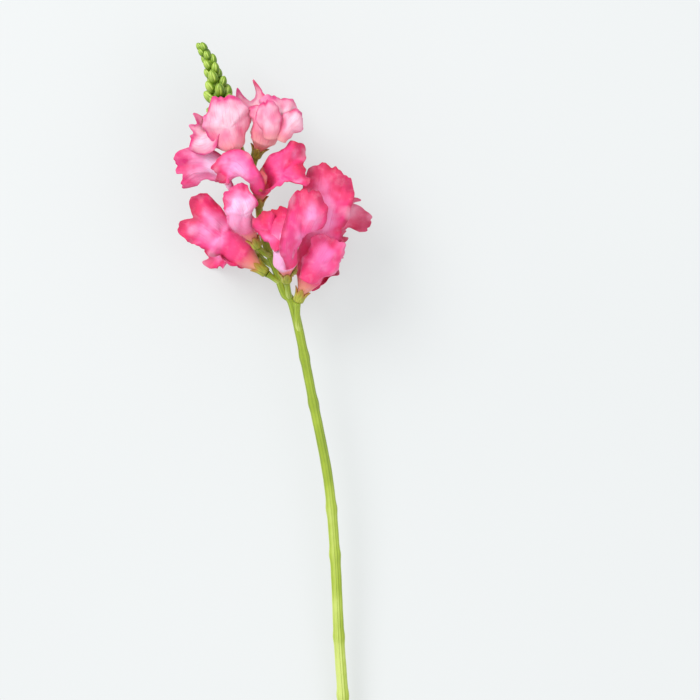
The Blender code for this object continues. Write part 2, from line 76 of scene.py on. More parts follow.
# Waves as pairs of a count and a height. The heights of the end waves are shares of the lip's length, those
# of the side waves shares of its width, and those of rim and frill are times its ruffle. FRILL_SHIFTS
# moves the two frill waves to and fro, so that they are unevenly spaced.
END_WAVES = [(15, 0.012), (27, 0.005)]
SIDE_WAVES = [(11, 0.06)]
FINE_SIDE_WAVES = [(19, 0.025), (33, 0.012)]
RIM_WAVES = [(6, 1.0), (9, 0.4)]
FRILL_WAVES = [(17, 1.0), (29, 0.6)]
FRILL_SHIFTS = [(5, 1.5), (3, 2.0)]
FRILL_HEIGHT = 0.3
FRILL_SHARPNESS = 8
FOLD_HEIGHT = 0.6
FOLDS_ACROSS = 3
FOLDS_ALONG = 4
CURL_HEIGHT = 2.0
CURL_SHARPNESS = 4
RIM_POWER = 5
RIM_LIMIT = 1.2
# How much of the rim's waves counts as a dent for the painted shade and highlight in the colours.
WAVE_SHADE = 0.6

# Dents that run in all directions, as pairs of a wavelength and a height.
CRUMPLE_WAVES = [(14.0, 0.40), (11.0, 0.32), (9.0, 0.25), (7.0, 0.18), (5.5, 0.11), (4.0, 0.06)]
CREASE_WAVES = [(12.0, 0.45), (8.0, 0.28), (5.5, 0.12)]
CREASE_WANDER = 17.0
CREASE_MIDDLE = 0.64
CREASE_SHARPNESS = 0.8

# What is added to a bloom's seed for its lower lip, and to a lip's for its fine waves and its dents.
LOWER_LIP_SEED = 50
FINE_SEED = 1000
CRUMPLE_SEED = 2000

CALYX_DEPTH = 1.6
CALYX_HEIGHT = 5.6
CALYX_FLARE = 0.2
CALYX_THICKNESS = 0.45
CALYX_CLEARANCE = 0.8
CALYX_COLUMNS = 90
CALYX_ROWS = 22
# Shares of the cup's rows: where its rounded foot has its width, and where it is up from its depth.
CALYX_FOOT = 0.12
CALYX_BASE = 0.2
CALYX_NOTCH_PULL = 0.25
CALYX_RIB = 0.04
CALYX_SEED = 200
SEPALS = 5
SEPAL_POINT = 0.75
SEPAL_CUT = 0.5
SEPAL_SPREAD = 0.06

PEDICEL_RADIUS = 1.2
PEDICEL_FOOT = 1.15
PEDICEL_HEAD = 0.45
PEDICEL_SAG = 1.0
PEDICEL_ROWS = 40
PEDICEL_SIDES = 20

STEM_ROUTE = [
    (36.5, -190.4, 2.8), (34.6, -147.0, 5.8), (32.4, -104.9, 9.2), (30.6, -77.9, 11.6), (28.8, -40.0, 14.8),
    (25.7, -5.9, 18.0), (19.1, 28.4, 21.4), (10.4, 70.7, 25.6), (5.9, 78.3, 26.5), (2.3, 88.7, 27.6),
    (-1.4, 97.7, 28.6), (-4.5, 108.9, 29.7), (-5.9, 120.2, 30.8), (-7.7, 129.2, 31.7), (-11.3, 135.9, 32.2),
    (-14.0, 144.5, 32.8), (-17.6, 156.2, 33.2),
]
CUT_Y = -190.0
HEAD_Y = 75.0
TOP_Y = 155.0
STEM_CUT_RADIUS = 2.8
STEM_HEAD_RADIUS = 2.0
STEM_TOP_RADIUS = 1.3
STEM_NODES = [-147.0, -104.0, -77.2, -40.0, -19.0, 28.4, 49.5]
NODE_SWELL = 0.16
NODE_LENGTH = 2.5
STEM_ROWS = 420
STEM_SIDES = 40
STEM_SEED = 7

SPIKE_ROUTE = [(-18.2, 157.0, 33.2), (-23.0, 165.5, 33.4), (-24.8, 173.0, 33.6), (-26.8, 180.0, 33.6),
               (-29.2, 185.5, 33.2), (-31.2, 188.5, 32.8)]
SPIKE_FOOT_RADIUS = 3.4
SPIKE_TIP_RADIUS = 0.8
SPIKE_RINGS = 40
SPIKE_SIDES = 24
CORE_SHARE = 0.9
SPIKE_BUDS = 26
SPIKE_TURN = math.radians(137.5)
SPIKE_FULLNESS = 0.6
BUD_SEED = 5
BUD_SIZE_SPREAD = 0.1
BUD_LEAN_SPREAD = 0.1
BUD_FOOT_LENGTH = 10.0
BUD_TIP_LENGTH = 4.4
BUD_FOOT_LEAN = 1.05
BUD_TIP_LEAN = 0.12
BUD_SLIMNESS = 0.33
BUD_FULLNESS = 2.2
BUD_SUNK = 0.12
BUD_ROOT = 0.9
BUD_GROOVE = 0.10
BUD_STAR = 0.03
BUD_ROWS = 22
BUD_SIDES = 40

STAMEN_CLEARANCE = 0.4
STAMEN_RADIUS = 0.4
STAMEN_ROWS = 30
STAMEN_SIDES = 20
# The yellow head: how far it stands out of the mouth, how much wider than the stalk it is, its middle and
# its length as shares of the stalk, and how deep its two lobes are.
ANTHER_REACH = 1.5
ANTHER_WIDTH = 0.7
ANTHER_MIDDLE = 0.95
ANTHER_LENGTH = 0.07
ANTHER_LOBES = 0.15

# A lip is one petal sheet. Its route starts at the mouth of the tube and goes through the points given.
# widths are its flat widths half way along and at the end. ends says how far along the route the lip
# reaches, from one side of it to the other, which makes its lobes. cup is the half angle in radians that
# it is rolled through near its end, face the way that its outer side looks there, and ruffle and curl
# are the height of its waves and of its turned-back rim.
Lip = namedtuple("Lip", "route widths ends cup face ruffle curl")

# base is the foot of the tube, in the calyx, mouth the middle of where it splits, outward the way from
# there to the upper lip, girth the radius of the mouth, and joint where the pedicel leaves the stem,
# as a distance along Y. The blooms are those of the part's source.
Bloom = namedtuple("Bloom", "tint base mouth outward girth joint seed upper lower")

BLOOMS = [
    Bloom("pale", base=(-16.0, 139.5, 38.5), mouth=(-17.5, 146.0, 46.0), outward=(0.45, -0.5, 1.0),
          girth=6.0, joint=132.0, seed=1,
          upper=Lip([(-18.2, 152.0, 53.5), (-19.4, 160.0, 55.0), (-21.0, 167.5, 51.5)], (26, 20),
                    (0.80, 0.93, 1.0, 0.97, 0.95, 0.99, 0.97, 0.92, 0.80), 0.9, (0.1, 0, 1), 0.7, -0.4),
          lower=Lip([(-25.5, 150.0, 43.5), (-31.0, 149.0, 44.0), (-37.5, 151.5, 42.5)], (18, 19),
                    (0.66, 0.77, 0.83, 0.87, 0.84, 0.96, 0.83, 1.0, 0.72), 0.8, (0, -0.3, 1), 0.6, 0.4)),
    Bloom("pale", base=(-6.5, 140.5, 37.5), mouth=(-3.5, 148.0, 42.5), outward=(-0.6, 0.4, -1.0),
          girth=6.2, joint=131.0, seed=2,
          upper=Lip([(-6.5, 157.0, 28.0), (-9.0, 165.0, 21.0), (-12.0, 173.0, 18.0)], (16, 18),
                    (0.66, 0.80, 1.0, 0.84, 0.76, 0.84, 1.0, 0.80, 0.66), 0.6, (0.2, 0, -1), 0.5, 0.4),
          lower=Lip([(3.0, 154.0, 50.5), (5.0, 161.5, 51.0), (2.0, 168.0, 46.5)], (28, 20),
                    (0.90, 0.98, 1.0, 1.0, 0.96, 0.95, 0.88, 0.84, 0.70), 1.05, (0.4, 0, 1), 1.0, -0.5)),
    Bloom("deep", base=(-5.5, 118.5, 38.5), mouth=(-4.5, 125.5, 45.0), outward=(-1.0, 0.0, 0.3),
          girth=4.8, joint=112.0, seed=3,
          upper=Lip([(-11.0, 129.5, 54.0), (-19.0, 134.5, 55.0), (-26.5, 131.5, 51.0)], (19, 15),
                    (0.85, 0.97, 1.0, 0.96, 0.92, 0.98, 1.0, 0.94, 0.82), 0.8, (-0.2, 0.2, 1), 0.7, -0.6),
          lower=Lip([(2.5, 130.5, 49.0), (9.5, 134.0, 50.0), (18.5, 137.5, 48.0)], (19, 25),
                    (0.68, 0.80, 0.79, 0.82, 0.84, 0.95, 1.0, 0.93, 0.76), 0.6, (0.1, -0.3, -1), 1.0, 0.5)),
    Bloom("light", base=(-6.5, 100.0, 37.5), mouth=(-11.0, 108.0, 43.0), outward=(-0.8, 0.3, -0.6),
          girth=5.2, joint=95.0, seed=4,
          upper=Lip([(-17.5, 121.0, 40.0), (-24.0, 132.0, 38.0), (-33.5, 136.0, 36.0),
                     (-43.0, 131.5, 33.0)], (15, 18),
                    (0.90, 0.98, 1.0, 0.94, 0.96, 0.97, 0.92, 0.93, 0.84), 0.5, (0, -0.2, 1), 0.9, 0.6),
          lower=Lip([(-11.5, 111.0, 51.0), (-14.0, 118.0, 53.0), (-18.5, 124.5, 49.5)], (15, 16),
                    (0.84, 0.95, 0.98, 1.0, 0.97, 1.0, 0.95, 0.96, 0.84), 0.5, (0, -0.3, 1), 0.6, 0.4)),
    Bloom("deep", base=(-3.0, 88.0, 29.5), mouth=(-12.0, 95.0, 28.5), outward=(-0.3, 0.6, 1.0),
          girth=5.8, joint=83.0, seed=5,
          upper=Lip([(-21.0, 103.0, 35.0), (-30.0, 110.0, 36.0), (-39.0, 114.5, 34.0)], (20, 24),
                    (0.80, 0.95, 1.0, 0.97, 0.86, 0.97, 1.0, 0.93, 0.84), 0.5, (0, 0, 1), 1.0, 0.7),
          lower=Lip([(-17.0, 95.5, 25.0), (-21.0, 98.0, 23.5), (-24.0, 101.0, 22.0)], (17, 19),
                    (0.80, 0.95, 0.90, 1.0, 0.93, 1.0, 0.90, 0.95, 0.80), 0.9,
                    (-0.2, -0.9, -0.4), 1.0, 0.6)),
    Bloom("deep", base=(7.0, 84.5, 37.5), mouth=(6.5, 92.0, 44.0), outward=(-1.0, 0.2, 0.3),
          girth=5.4, joint=76.0, seed=6,
          upper=Lip([(3.6, 99.5, 52.0), (2.2, 107.5, 52.5), (0.2, 117.0, 49.0)], (15, 19),
                    (0.84, 0.92, 0.95, 0.93, 0.97, 0.96, 1.0, 0.92, 0.84), 0.8, (-0.2, 0, 1), 0.7, -0.4),
          lower=Lip([(13.0, 102.0, 55.0), (16.5, 113.0, 57.0), (17.5, 124.5, 53.0)], (21, 16),
                    (0.80, 0.93, 0.99, 1.0, 0.96, 1.0, 0.98, 0.90, 0.78), 0.4, (0.2, 0, 1), 1.1, 0.6)),
    Bloom("deep", base=(12.5, 75.5, 32.0), mouth=(17.0, 85.0, 34.5), outward=(0.2, 0.6, 0.8),
          girth=5.8, joint=60.0, seed=7,
          upper=Lip([(20.5, 98.5, 40.0), (23.5, 114.0, 41.0), (28.0, 136.0, 38.0)], (22, 24),
                    (0.80, 0.92, 0.98, 1.0, 0.97, 0.98, 0.92, 0.93, 0.80), 0.4, (0, 0, 1), 0.9, 0.6),
          lower=Lip([(21.0, 87.0, 28.0), (26.0, 91.0, 25.0), (30.0, 95.0, 22.0)], (20, 20),
                    (0.80, 0.95, 0.88, 1.0, 0.92, 1.0, 0.88, 0.95, 0.80), 0.7, (0.6, -0.6, 0), 1.0, 0.6)),
    Bloom("soft", base=(1.0, 104.0, 22.0), mouth=(11.0, 108.0, 20.0), outward=(0.0, 1.0, 0.6),
          girth=5.2, joint=96.0, seed=8,
          upper=Lip([(24.0, 112.0, 25.0), (34.0, 114.5, 26.0), (45.0, 113.5, 23.0)], (15, 16),
                    (0.66, 0.84, 0.76, 0.90, 0.98, 1.0, 1.0, 0.98, 0.90), 0.4, (0, 0, 1), 0.8, 0.6),
          lower=Lip([(19.0, 108.0, 11.0), (27.0, 108.0, 5.0), (33.0, 109.0, 0.4)], (18, 18),
                    (0.80, 0.95, 0.90, 1.0, 0.92, 1.0, 0.90, 0.95, 0.80), 0.6, (0, -0.2, -1), 1.0, 0.4)),
    Bloom("deep", base=(-6.0, 94.5, 21.5), mouth=(-13.0, 98.5, 12.5), outward=(-0.5, 0.8, 0.4),
          girth=4.8, joint=90.0, seed=9,
          upper=Lip([(-21.0, 106.0, 10.0), (-27.0, 109.0, 9.0), (-32.0, 112.0, 6.0)], (16, 17),
                    (0.76, 0.94, 0.98, 0.90, 0.84, 0.92, 1.0, 0.94, 0.76), 0.5, (0, 0.2, 1), 1.0, 0.8),
          lower=Lip([(-18.0, 97.0, 4.0), (-24.0, 98.0, 0.4), (-30.0, 100.0, 0.4)], (18, 18),
                    (0.80, 0.95, 0.88, 1.0, 0.92, 1.0, 0.88, 0.95, 0.80), 0.5, (0, 0, -1), 1.0, 0.4)),
    Bloom("deep", base=(7.0, 88.0, 20.0), mouth=(12.0, 91.0, 12.5), outward=(0.8, 0.5, 0.4),
          girth=4.8, joint=80.0, seed=10,
          upper=Lip([(19.0, 93.0, 9.0), (24.0, 94.0, 8.0), (28.0, 94.0, 5.0)], (16, 17),
                    (0.76, 0.94, 0.98, 0.90, 0.84, 0.92, 1.0, 0.94, 0.76), 0.5, (0, 0, 1), 1.0, 0.8),
          lower=Lip([(13.0, 90.0, 3.0), (18.0, 89.0, 0.4), (24.0, 88.0, 0.4)], (18, 18),
                    (0.80, 0.95, 0.88, 1.0, 0.92, 1.0, 0.88, 0.95, 0.80), 0.5, (0, 0, -1), 1.0, 0.4)),
]

# Loose petals that show between the lips: the pink-edged folds in the mouth of bloom 2, the extra
# ruffled layers of blooms 6 and 7, and the brown throat of bloom 3, whose near-black rim is painted shade in
# the slit.
LOOSE_ROWS = 36
LOOSE_COLUMNS = 40
LOOSE_PETALS = [
    dict(name="fold_02a", tint="pale", foot=(0.0, 148.0, 52.0), axis=(0.0, 1, 0.5), outward=(0, -0.4, 1),
         girth=3.0, seed=31,
         lip=Lip([(-0.5, 155.0, 56.5), (-2.0, 161.0, 57.0), (-3.0, 165.0, 55.0)], (14, 13),
                 (0.78, 0.90, 0.97, 1.0, 0.96, 0.99, 0.95, 0.88, 0.76), 0.9, (-0.1, 0, 1), 0.3, -0.8)),
    dict(name="fold_02b", tint="pale", foot=(4.0, 147.0, 50.0), axis=(0.5, 1, 0.3), outward=(0, -0.4, 1),
         girth=3.0, seed=36,
         lip=Lip([(8.0, 152.0, 53.5), (11.5, 156.5, 53.5), (13.5, 160.5, 51.0)], (12, 12),
                 (0.80, 0.92, 0.98, 1.0, 0.96, 0.98, 0.94, 0.88, 0.80), 0.9, (0.4, 0, 1), 0.3, -0.6)),
    dict(name="fold_07a", tint="hot", foot=(16.0, 84.0, 43.0), axis=(0.5, 1, 0.3), outward=(0, -0.2, 1),
         girth=3.5, seed=41,
         lip=Lip([(20.5, 89.0, 45.5), (25.0, 96.0, 46.5), (28.5, 103.0, 43.0)], (17, 17),
                 (0.80, 0.92, 0.98, 0.95, 1.0, 0.97, 0.99, 0.92, 0.82), 0.6, (0.2, 0, 1), 0.6, 0.5)),
    dict(name="fold_06a", tint="deep", foot=(4.0, 98.0, 50.0), axis=(-0.6, 1, 0.2), outward=(0, -0.2, 1),
         girth=2.5, seed=47,
         lip=Lip([(0.0, 105.0, 51.5), (-3.0, 110.0, 51.5), (-5.0, 114.0, 49.5)], (11, 12),
                 (0.74, 0.88, 0.95, 0.92, 0.97, 1.0, 0.95, 0.88, 0.76), 0.8, (-0.2, 0, 1), 0.6, 0.5)),
    dict(name="fold_03a", tint="throat", foot=(-4.4, 124.0, 51.0), axis=(0, 1, 0.6), outward=(0, -0.5, 1),
         girth=0.8, seed=52,
         lip=Lip([(-4.0, 126.5, 53.8), (-3.8, 130.5, 55.4), (-3.4, 134.5, 55.4)], (5.0, 3.8),
                 (0.60, 0.78, 0.90, 0.97, 1.0, 0.97, 0.90, 0.78, 0.60), 1.0, (0.1, 0, 1), 0.15, -0.2)),
]

# Name, place, width and power of each lamp.
LIGHTS = [
    ("key", (-1.2, 1.2, 1.6), 1.2, 40.0),
    ("fill", (1.2, -0.4, 2.2), 2.0, 14.0),
]
WORLD_STRENGTH = 0.85
FLOOR_GLOW = 0.495


def unit(vector):
    vector = np.asarray(vector, float)
    return vector / np.linalg.norm(vector)


def square_to(axis, direction):
    """The part of a direction that is square to an axis, with length 1."""
    direction = np.asarray(direction, float)
    return unit(direction - axis * np.dot(direction, axis))


def smooth_step(value):
    value = np.clip(value, 0.0, 1.0)
    return value * value * (3 - 2 * value)


def smooth_values(theta, values):
    """A smooth run through values that are spread evenly from one side of a lip to the other."""
    padded = np.array([2 * values[0] - values[1], *values, 2 * values[-1] - values[-2]])
    position = (np.asarray(theta) + 1) / 2 * (len(values) - 1)
    first = np.clip(position.astype(int), 0, len(values) - 2)
    u = position - first
    before, start, end, after = (padded[first + k] for k in range(4))
    return 0.5 * (2 * start + (end - before) * u + (2 * before - 5 * start + 4 * end - after) * u ** 2
                  + (3 * start - before - 3 * end + after) * u ** 3)


def smooth_curve(points, count, start_direction=None):
    """Evenly spaced places on a smooth curve through points, and its length."""
    points = [np.asarray(point, float) for point in points]
    lead = points[1] - points[0]
    if start_direction is not None:
        lead = np.linalg.norm(lead) * unit(start_direction)
    points = [points[1] - 2 * lead] + points + [2 * points[-1] - points[-2]]
    dense = []
    for before, start, end, after in zip(points, points[1:], points[2:], points[3:]):
        for u in np.linspace(0, 1, 16, endpoint=False):
            dense.append(0.5 * (2 * start + (end - before) * u
                                + (2 * before - 5 * start + 4 * end - after) * u ** 2
                                + (3 * start - before - 3 * end + after) * u ** 3))
    dense = np.array(dense + [points[-2]])
    run = np.concatenate([[0], np.cumsum(np.linalg.norm(np.diff(dense, axis=0), axis=1))])
    at = np.linspace(0, run[-1], count)
    return np.stack([np.interp(at, run, dense[:, axis]) for axis in range(3)], 1), run[-1]


def carried_frames(points, normal):
    """Tangents of a curve, and a normal that is carried along it without twisting."""
    tangents = np.gradient(points, axis=0)
    tangents /= np.linalg.norm(tangents, axis=1)[:, None]
    normals = []
    for tangent in tangents:
        normal = square_to(tangent, normal)
        normals.append(normal)
    return tangents, np.array(normals)


def turned_to_face(tangents, normals, face):
    """The carried normals, turned more and more round the curve until the last one looks along face."""
    face = square_to(tangents[-1], face)
    angle = math.atan2(np.dot(np.cross(normals[-1], face), tangents[-1]), np.dot(normals[-1], face))
    amount = angle * smooth_step(np.linspace(0, 1.25, len(normals)))[:, None]
    return normals * np.cos(amount) + np.cross(tangents, normals) * np.sin(amount)


def along_curve(share, values):
    """Values at a share of a curve's length, for whole grids of shares."""
    at = np.linspace(0, 1, len(values))
    return np.stack([np.interp(share, at, values[:, k]) for k in range(values.shape[1])], -1)


def normalised(vectors):
    return vectors / np.linalg.norm(vectors, axis=-1, keepdims=True)


def crumple(point, seed):
    """Soft irregular dents, as the sum of waves that run in all directions through the petal."""
    draw = np.random.default_rng(seed + CRUMPLE_SEED)
    height = 0.0
    for wavelength, amount in CRUMPLE_WAVES:
        direction = unit(draw.normal(size=3)) * 2 * math.pi / wavelength
        height = height + amount * np.sin(point @ direction + draw.uniform(0, 2 * math.pi))
    for wavelength, amount in CREASE_WAVES:
        direction = unit(draw.normal(size=3)) * math.pi / wavelength
        wander = np.sin(point @ (unit(draw.normal(size=3)) * 2 * math.pi / CREASE_WANDER))
        crease = np.abs(np.sin(point @ direction + wander)) ** CREASE_SHARPNESS
        height = height + amount * (CREASE_MIDDLE - crease)
    return height


def waves(pairs, position, phases):
    """The sum of waves, each with its own phase."""
    return sum(height * np.sin(count * position + phase) for (count, height), phase in zip(pairs, phases))


def lip_surface(lip, mouth, axis, outward, girth, seed, columns, rows):
    """Points of one lip as a grid, and the values there that its colours follow.

    The values are how near the rim is, how far along the lip and how far to its side the point lies, and
    how far it stands out of the smooth sheet, which the colours use for painted shade in the dents and
    painted highlight on the crests.
    """
    middle, length = smooth_curve([mouth + girth * outward] + lip.route, ROUTE_STEPS + 1, axis)
    tangents, normals = carried_frames(middle, outward)
    normals = turned_to_face(tangents, normals, lip.face)
    phases = np.random.default_rng(seed).uniform(0, 2 * math.pi, 4)
    fine = np.random.default_rng(seed + FINE_SEED).uniform(0, 2 * math.pi, 12)
    u, theta = np.meshgrid(np.linspace(0, 1, rows + 1), np.linspace(-1, 1, columns + 1), indexing="ij")

    # How far along the route each point lies, and how wide and how rolled up the lip is there.
    reach = smooth_values(theta, lip.ends) + waves(END_WAVES, theta, fine[0:2])
    s = u - (1 - reach) * u ** 2
    roll = math.pi / 2 + (lip.cup - math.pi / 2) * smooth_step(s / UNROLLED_AT)
    middle_width, end_width = lip.widths
    half_ring = math.pi / 2 * girth
    half = half_ring + (middle_width / 2 - half_ring) * smooth_step(s / MIDDLE_WIDTH_AT)
    half += (end_width - middle_width) / 2 * smooth_step((s - END_WIDTH_FROM) / (1 - END_WIDTH_FROM))
    swing = smooth_step(u / SWUNG_AT)
    half *= 1 + waves(SIDE_WAVES, s, [phases[2] + 2 * theta]) * swing
    half *= 1 + waves(FINE_SIDE_WAVES, s, [fine[2] + theta, fine[3]]) * swing
    place, tangent, normal = (along_curve(s, part) for part in (middle, tangents, normals))
    tangent, normal = normalised(tangent), normalised(normal)
    side = np.cross(tangent, normal)
    angle = (theta * roll)[..., None]
    point = place + (half / roll)[..., None] * (np.sin(angle) * side + (np.cos(angle) - 1) * normal)
    lift = np.sin(angle) * side + np.cos(angle) * normal

    # Waves that run round the rim, a few folds across the middle, and the rim turned back.
    rim = (np.abs(theta) ** RIM_POWER + u ** RIM_POWER) ** (2 / RIM_POWER)
    spread = np.arctan2(theta * half, (s - WAVE_CENTRE) * length)
    wave = waves(RIM_WAVES, spread, phases)
    fold = np.sin(FOLDS_ACROSS * theta + phases[2]) * np.sin(FOLDS_ALONG * s + phases[3])
    raised = lip.ruffle * (wave * np.minimum(rim, RIM_LIMIT) + FOLD_HEIGHT * fold)
    raised += CURL_HEIGHT * lip.curl * u ** CURL_SHARPNESS

    # A fine frill of uneven spacing on the rim, and dents all over.
    near_rim = np.clip(np.maximum(np.abs(theta), u), 0, 1)
    uneven = [fine[4 + 2 * k] + height * np.sin(count * spread + fine[5 + 2 * k])
              for k, (count, height) in enumerate(FRILL_SHIFTS)]
    frill = waves(FRILL_WAVES, spread, uneven) * near_rim ** FRILL_SHARPNESS
    raised += lip.ruffle * FRILL_HEIGHT * frill
    dent = crumple(point, seed)
    raised += dent
    waved = smooth_step(u / WAVED_AT)
    point = point + lift * (raised * waved)[..., None]
    # How far each point stands out, for the painted shade in the dents and painted highlight on the crests.
    shaded = (dent + WAVE_SHADE * lip.ruffle * wave * np.minimum(rim, 1.0)) * waved
    return point, near_rim, s, theta, shaded


def ring_faces(rings, sides):
    """Faces of a tube, in rings of vertices that follow the one at the middle of its foot."""
    faces = [(0, 1 + (i + 1) % sides, 1 + i) for i in range(sides)]
    for ring in range(rings - 1):
        low, high = 1 + ring * sides, 1 + (ring + 1) * sides
        for i in range(sides):
            k = (i + 1) % sides
            faces.append((low + i, low + k, high + k, high + i))
    return faces


def strip_faces(low, high):
    """Faces between two rows of vertices."""
    return np.stack([low[:-1], low[1:], high[1:], high[:-1]], 1).tolist()


def bloom_line(bloom):
    """The foot and the mouth of a bloom's tube, and the way from one to the other."""
    base, mouth = np.asarray(bloom.base, float), np.asarray(bloom.mouth, float)
    return base, mouth, unit(mouth - base)


def lip_share(s):
    """Where a point of a lip lies in the range that the colours follow from the tube's foot."""
    return TUBE_SHARE + (1 - TUBE_SHARE) * s


def bloom_surface(bloom):
    """The corolla as one open sheet, with the values that its colours follow."""
    base, mouth, axis = bloom_line(bloom)
    outward = square_to(axis, bloom.outward)
    grid = (LIP_COLUMNS, LIP_ROWS)
    lips = [lip_surface(bloom.upper, mouth, axis, outward, bloom.girth, bloom.seed, *grid),
            lip_surface(bloom.lower, mouth, axis, -outward, bloom.girth, bloom.seed + LOWER_LIP_SEED, *grid)]
    ring = np.concatenate([lips[0][0][0, :-1], lips[1][0][0, :-1]])
    across = np.concatenate([lips[0][3][0, :-1], lips[1][3][0, :-1]])
    around = len(ring)
    vertices, values = [base[None]], [np.zeros((1, 5))]
    for row in range(TUBE_ROWS + 1):
        v = row / TUBE_ROWS
        radius = TUBE_FOOT_RADIUS + (bloom.girth - TUBE_FOOT_RADIUS) * v ** TUBE_FLARE
        vertices.append(base + v * (mouth - base) + (ring - mouth) * radius / bloom.girth)
        none = np.zeros(around)
        values.append(np.stack([none, np.full(around, TUBE_SHARE * v), across, none, none], 1))
    faces = ring_faces(TUBE_ROWS + 1, around)
    count = 1 + (TUBE_ROWS + 1) * around
    last_ring = 1 + TUBE_ROWS * around
    for number, (points, rim, s, theta, dent) in enumerate(lips):
        columns = LIP_COLUMNS + 1
        low = last_ring + (number * LIP_COLUMNS + np.arange(columns)) % around
        for row in range(1, LIP_ROWS + 1):
            high = count + np.arange(columns)
            count += columns
            vertices.append(points[row])
            side = np.full(columns, float(number))
            values.append(np.stack([rim[row], lip_share(s[row]), theta[row], side, dent[row]], 1))
            faces += strip_faces(low, high)
            low = high
    return np.concatenate(vertices), np.concatenate(values), faces


def pressed_to_floor(vertices):
    """Petals flatten where they meet the surface that the stem lies on."""
    vertices = vertices.copy()
    vertices[:, 2] = np.maximum(vertices[:, 2], CAD_PETAL_THICKNESS / 2)
    return vertices


def mesh_object(name, vertices, faces, attributes=None):
    mesh = bpy.data.meshes.new(name)
    mesh.from_pydata(((np.asarray(vertices) + SHIFT) * MM).tolist(), [], faces)
    for label, values in (attributes or {}).items():
        layer = mesh.attributes.new(label, "FLOAT", "POINT")
        layer.data.foreach_set("value", np.asarray(values, np.float32))
    mesh.update()
    mesh.shade_smooth()
    thing = bpy.data.objects.new(name, mesh)
    bpy.context.scene.collection.objects.link(thing)
    return thing


def thicken(thing, thickness):
    solid = thing.modifiers.new("thickness", "SOLIDIFY")
    solid.thickness = thickness * MM
    solid.offset = 0
    return thing


def make_bloom(number, bloom):
    vertices, values, faces = bloom_surface(bloom)
    attributes = dict(zip(("rim", "along", "across", "side", "dent"), values.T))
    corolla = mesh_object(f"petals_{number:02d}", pressed_to_floor(vertices), faces, attributes)
    thicken(corolla, PETAL_THICKNESS)
    corolla.data.materials.append(petal_material(LIP_TINTS[number - 1]))
    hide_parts(f"bloom_{number:02d}")
    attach(corolla, "root")


def make_loose_petal(name, tint, lip, foot, axis, outward, girth, seed):
    """A ruffled petal that shows between the lips of a bloom."""
    axis = unit(axis)
    outward = square_to(axis, outward)
    points, rim, s, theta, dent = lip_surface(lip, np.asarray(foot, float), axis, outward, girth, seed,
                                              LOOSE_COLUMNS, LOOSE_ROWS)
    columns = LOOSE_COLUMNS + 1
    low = np.arange(columns)
    faces = []
    for _ in range(LOOSE_ROWS):
        high = low + columns
        faces += strip_faces(low, high)
        low = high
    attributes = {"rim": rim.ravel(), "along": lip_share(s).ravel(), "across": theta.ravel(),
                  "side": np.zeros(theta.size), "dent": dent.ravel()}
    petal = mesh_object(name, points.reshape(-1, 3), faces, attributes)
    thicken(petal, PETAL_THICKNESS)
    petal.data.materials.append(petal_material((tint, tint)))
    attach(petal, "root")


class Nodes:
    """A short way to write a material's node tree."""

    def __init__(self, name):
        self.material = bpy.data.materials.new(name)
        self.material.use_nodes = True
        self.tree = self.material.node_tree
        self.shader = self.tree.nodes["Principled BSDF"]

    def new(self, kind, settings=None, **inputs):
        node = self.tree.nodes.new(kind)
        for label, value in (settings or {}).items():
            setattr(node, label, value)
        for label, value in inputs.items():
            self.set(node.inputs[label.replace("_", " ")], value)
        return node

    def set(self, socket, value):
        if hasattr(value, "is_output"):
            self.tree.links.new(value, socket)
        else:
            socket.default_value = value

    def attribute(self, name):
        return self.new("ShaderNodeAttribute", {"attribute_name": name}).outputs["Fac"]

    def math(self, operation, first, second=0.0, clamp=False):
        node = self.tree.nodes.new("ShaderNodeMath")
        node.operation = operation
        node.use_clamp = clamp
        self.set(node.inputs[0], first)
        self.set(node.inputs[1], second)
        return node.outputs[0]

    def mix(self, share, first, second, blend="MIX"):
        node = self.tree.nodes.new("ShaderNodeMix")
        node.data_type = "RGBA"
        node.blend_type = blend
        self.set(node.inputs[0], share)
        self.set(node.inputs[6], first)
        self.set(node.inputs[7], second)
        return node.outputs[2]

    def ramp(self, share, stops):
        node = self.tree.nodes.new("ShaderNodeValToRGB")
        self.set(node.inputs[0], share)
        elements = node.color_ramp.elements
        while len(elements) < len(stops):
            elements.new(0.5)
        for element, (position, colour) in zip(elements, stops):
            element.position = position
            element.color = (*colour, 1)
        return node.outputs[0]

    def range(self, value, low, high, to_low=0.0, to_high=1.0):
        node = self.new("ShaderNodeMapRange", {"interpolation_type": "SMOOTHSTEP"})
        self.set(node.inputs["Value"], value)
        limits = {"From Min": low, "From Max": high, "To Min": to_low, "To Max": to_high}
        for label, number in limits.items():
            node.inputs[label].default_value = number
        return node.outputs["Result"]

    def noise(self, scale, detail=3.0, vector=None, roughness=0.5):
        node = self.new("ShaderNodeTexNoise", Scale=scale, Detail=detail, Roughness=roughness)
        if vector is None:
            vector = self.new("ShaderNodeTexCoord").outputs["Object"]
        self.set(node.inputs["Vector"], vector)
        return node.outputs["Fac"]

    def bump(self, height, strength, distance):
        node = self.new("ShaderNodeBump", Strength=strength, Distance=distance)
        self.set(node.inputs["Height"], height)
        self.set(self.shader.inputs["Normal"], node.outputs["Normal"])
